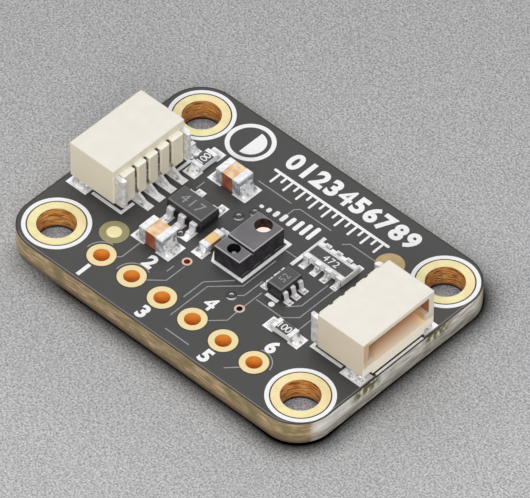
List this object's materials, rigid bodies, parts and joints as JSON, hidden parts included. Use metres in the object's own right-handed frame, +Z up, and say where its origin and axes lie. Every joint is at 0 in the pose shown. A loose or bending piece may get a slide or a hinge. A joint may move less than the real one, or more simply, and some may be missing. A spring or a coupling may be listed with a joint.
{
  "type": "light sensor module",
  "caption": "Small black circuit board with a light sensor in the middle, a side-entry cable socket at each end, a header row and corner mounting holes.",
  "frame": {"origin": "centre of the mounting-hole pattern at the underside of the board", "axes": "+X along the board towards the right-hand socket, +Y away from the header row, +Z up out of the component side"},
  "size_m": [0.0251, 0.0176, 0.0049],
  "materials": {
    "fibreglass": "woven glass laminate",
    "solder_mask": "matte black lacquer over woven glass laminate",
    "white_ink": "printed",
    "gold_plate": "gold plated copper",
    "solder": "satin solder",
    "socket_moulding": "moulded cream white",
    "tinned_metal": "bright tin plate",
    "chip_metal": "tinned ends",
    "sensor_moulding": "dark moulding",
    "package_moulding": "dark moulding",
    "clear_window": "clear filling",
    "tan_ceramic": "bare ceramic",
    "white_ceramic": "bare ceramic",
    "black_glaze": "black glaze"
  },
  "bodies": {
    "root": {"alignment_dot": "gold_plate", "board_laminate": "solder_mask", "capacitor_back_ceramic": "tan_ceramic", "capacitor_back_ends": "chip_metal", "capacitor_front_ceramic": "tan_ceramic", "capacitor_front_ends": "chip_metal", "capacitor_small_ceramic": "tan_ceramic", "capacitor_small_ends": "chip_metal", "header_eyelet_1": "gold_plate", "header_eyelet_2": "gold_plate", "header_eyelet_3": "gold_plate", "header_eyelet_4": "gold_plate", "header_eyelet_5": "gold_plate", "header_eyelet_6": "gold_plate", "mounting_eyelet_1": "gold_plate", "mounting_eyelet_2": "gold_plate", "mounting_eyelet_3": "gold_plate", "mounting_eyelet_4": "gold_plate", "network_ceramic": "white_ceramic", "network_glaze": "black_glaze", "network_terminals": "chip_metal", "printed_outlines": "white_ink", "regulator_body": "package_moulding", "regulator_leads": "tinned_metal", "resistor_left_ceramic": "white_ceramic", "resistor_left_ends": "chip_metal", "resistor_left_glaze": "black_glaze", "resistor_rear_ceramic": "white_ceramic", "resistor_rear_ends": "chip_metal", "resistor_rear_glaze": "black_glaze", "resistor_right_ceramic": "white_ceramic", "resistor_right_ends": "chip_metal", "resistor_right_glaze": "black_glaze", "sensor_base": "sensor_moulding", "sensor_detector_window": "clear_window", "sensor_emitter_window": "clear_window", "sensor_shell": "sensor_moulding", "socket_left_bracket_back": "tinned_metal", "socket_left_bracket_front": "tinned_metal", "socket_left_contact_1": "tinned_metal", "socket_left_contact_2": "tinned_metal", "socket_left_contact_3": "tinned_metal", "socket_left_contact_4": "tinned_metal", "socket_left_housing": "socket_moulding", "socket_right_bracket_back": "tinned_metal", "socket_right_bracket_front": "tinned_metal", "socket_right_contact_1": "tinned_metal", "socket_right_contact_2": "tinned_metal", "socket_right_contact_3": "tinned_metal", "socket_right_contact_4": "tinned_metal", "socket_right_housing": "socket_moulding", "solder_pads_chips": "solder", "solder_pads_sockets": "solder", "transistor_body": "package_moulding", "transistor_leads": "tinned_metal"}
  },
  "joints": []
}
